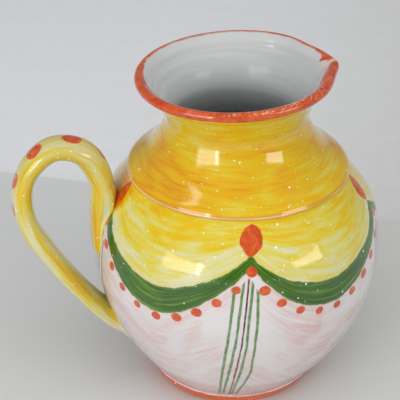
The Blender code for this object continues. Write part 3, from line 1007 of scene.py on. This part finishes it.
def store_strap_design(mesh, along, turn, beyond):
    """The strap's dots, where its paint pools, where it is missing, and where painted shade darkens
    it.
    """
    store_vector(mesh, "stroke", np.stack([np.cos(turn), np.sin(turn), along], axis=1))
    dots = np.full(len(along), FAR_OFF)
    for stop, centre in STRAP_DOTS:
        around = (turn - math.radians(centre)) * SECTION_RADIUS
        reach = np.hypot((along - stop) / STRAP_DOT_STRETCH, around)
        dots = np.minimum(dots, reach - STRAP_DOT_RADIUS)
    store(mesh, "dot", dots)
    edge = np.exp(-((turn - math.radians(305.0)) / 0.55) ** 2)
    other_edge = np.exp(-((turn - math.radians(55.0)) / 0.55) ** 2)
    near_body = np.clip(1.0 - beyond / 6.0, 0.0, 1.0)
    top = np.exp(-((along - 85.0) / 30.0) ** 2)
    # Painted shade: a duller, darker yellow over the top of the bend.
    store(mesh, "shade", 0.36 * top)
    # Paint pools along both edges; near the belly the deeper colour is paint that pools at the
    # joint and painted shade.
    store(mesh, "pooling_and_shade", (0.14 + 0.26 * top) * (edge + other_edge) + 0.2 * near_body)
    tail_end = np.clip(1.0 - along / 7.0, 0.0, 1.0)
    lower_end = np.clip((along - along.max() + 34.0) / 20.0, 0.0, 1.0) * (np.cos(turn) < 0.2)
    store(mesh, "bare", 0.7 * np.maximum(tail_end, lower_end))


# ------------ the setting

TABLE_DEPTH = 187.0         # from the vessel's axis to the far edge of the table
TABLE_TURN = -12.0
TABLE_SIZE = 5000.0
# Left colour first; the right one is a little darker and warmer as painted shade.
TABLE_COLOURS = (0.68, 0.69, 0.685), (0.66, 0.665, 0.64)
BACKDROP_SIZE = 15000.0
# The backdrop stands in for a wall lit from the left: its right colour is painted shade.
BACKDROP_COLOURS = (0.80, 0.805, 0.83), (0.66, 0.66, 0.635)
BLEND_SPAN = (-220.0, 240.0)    # where the left colour has turned into the right one
STRIPS_REACH = 500.0

# Each window: its name, azimuth and elevation, the angles that it fills sideways and upwards,
# its radiance and its distance.
WINDOWS = [("window_left", -145.5, 13.0, 31.0, 27.0, 3.6, 1800.0),
           ("window_left_bar", -131.8, 13.5, 3.4, 28.0, 8.5, 1750.0),
           ("window_right", -47.5, 17.0, 24.0, 15.0, 4.0, 1800.0),
           ("window_high", -178.0, 59.0, 6.0, 14.0, 3.0, 1800.0)]
OVERHEAD = ("soft_overhead", -88.0, 66.0, 100.0, 80.0, 0.98, 2500.0)
WORLD_COLOUR = (0.96, 0.98, 1.0, 1.0)
WORLD_STRENGTH = 0.26


def around_vessel(azimuth, distance, height):
    """A place in metres, from an azimuth, a distance from the vessel's axis and a height."""
    turn = math.radians(azimuth)
    return Vector(((AXIS_X + distance * math.cos(turn)) * MM, distance * math.sin(turn) * MM,
                   height * MM))


def add_camera():
    data = bpy.data.cameras.new("camera")
    data.lens = CAMERA_LENS
    data.sensor_width = 36.0
    data.clip_start = 0.01
    camera = new_object("camera", data)
    camera.location = around_vessel(CAMERA_AZIMUTH, CAMERA_DISTANCE, CAMERA_HEIGHT)
    aim = around_vessel(CAMERA_AZIMUTH - 90.0, AIM_LEFT, AIM_HEIGHT)
    camera.rotation_euler = (aim - camera.location).to_track_quat("-Z", "Y").to_euler()
    bpy.context.scene.camera = camera


def plain_material(name, left, right, roughness):
    """A plain colour that changes slightly from one side of the setting to the other: painted light
    on the left and painted shade towards the right.
    """
    graph = Graph(name)
    across = graph.number("across")
    cloudy = graph.remap(graph.noise(graph.place(), 40.0, 2.0), 0.3, 0.7, -0.08, 0.08)
    share = graph.add(graph.remap(across, *BLEND_SPAN, smooth=True), cloudy, clamp=True)
    graph.plug(graph.shader.inputs["Base Color"], graph.mix(share, left, right))
    graph.shader.inputs["Roughness"].default_value = roughness
    return graph.material


def add_plane(name, size, location, turn, material):
    """A flat square divided into strips, with each strip's place across it stored."""
    strips = np.linspace(-STRIPS_REACH, STRIPS_REACH, 21)
    across = np.concatenate([[-size / 2.0], strips, [size / 2.0]])
    corners = [(x, y, 0.0) for x in across * MM for y in (-size * MM / 2.0, size * MM / 2.0)]
    faces = [(n, n + 2, n + 3, n + 1) for n in range(0, 2 * len(across) - 2, 2)]
    mesh = bpy.data.meshes.new(name)
    mesh.from_pydata(corners, [], faces)
    store(mesh, "across", np.repeat(across, 2))
    mesh.materials.append(material)
    plane = new_object(name, mesh)
    plane.location = location
    plane.rotation_euler = (0.0, 0.0, turn)


def add_window(name, azimuth, elevation, width_angle, height_angle, radiance, distance):
    """A soft window-shaped light that faces the pitcher, sized by the angles it fills."""
    middle = 0.6 * HEIGHT
    data = bpy.data.lights.new(name, "AREA")
    data.shape = "RECTANGLE"
    data.size = 2 * distance * MM * math.tan(math.radians(width_angle / 2))
    data.size_y = 2 * distance * MM * math.tan(math.radians(height_angle / 2))
    data.energy = radiance * math.pi * data.size * data.size_y
    light = new_object(name, data)
    level = math.cos(math.radians(elevation)) * distance
    rise = math.sin(math.radians(elevation)) * distance
    light.location = around_vessel(azimuth, level, middle + rise)
    target = around_vessel(0.0, 0.0, middle)
    light.rotation_euler = (target - light.location).to_track_quat("-Z", "Y").to_euler()
    return light


def add_setting():
    """The table, what is behind it, and the lights."""
    table = plain_material("table", *TABLE_COLOURS, 0.55)
    beyond = plain_material("backdrop", *BACKDROP_COLOURS, 0.9)
    turn = math.radians(CAMERA_AZIMUTH + 90.0 + TABLE_TURN)
    facing = CAMERA_AZIMUTH + 180.0 + TABLE_TURN
    middle = TABLE_DEPTH - TABLE_SIZE / 2.0
    add_plane("table_top", TABLE_SIZE, around_vessel(facing, middle, 0.0), turn, table)
    add_plane("backdrop", BACKDROP_SIZE, around_vessel(facing, 0.0, -1.0), turn, beyond)
    for window in WINDOWS:
        add_window(*window)
    soft = add_window(*OVERHEAD)
    soft.visible_glossy = False     # it lights the pitcher and isn't mirrored in the glaze
    world = bpy.data.worlds.new("studio")
    world.use_nodes = True
    background = world.node_tree.nodes["Background"]
    background.inputs["Color"].default_value = WORLD_COLOUR
    background.inputs["Strength"].default_value = WORLD_STRENGTH
    bpy.context.scene.world = world
    bpy.context.scene.view_settings.view_transform = "Standard"


def main():
    inside = inside_paint()
    add_foot()
    add_belly(inside)
    add_shoulder(inside)
    add_lip()
    add_strap()
    add_camera()
    add_setting()


main()
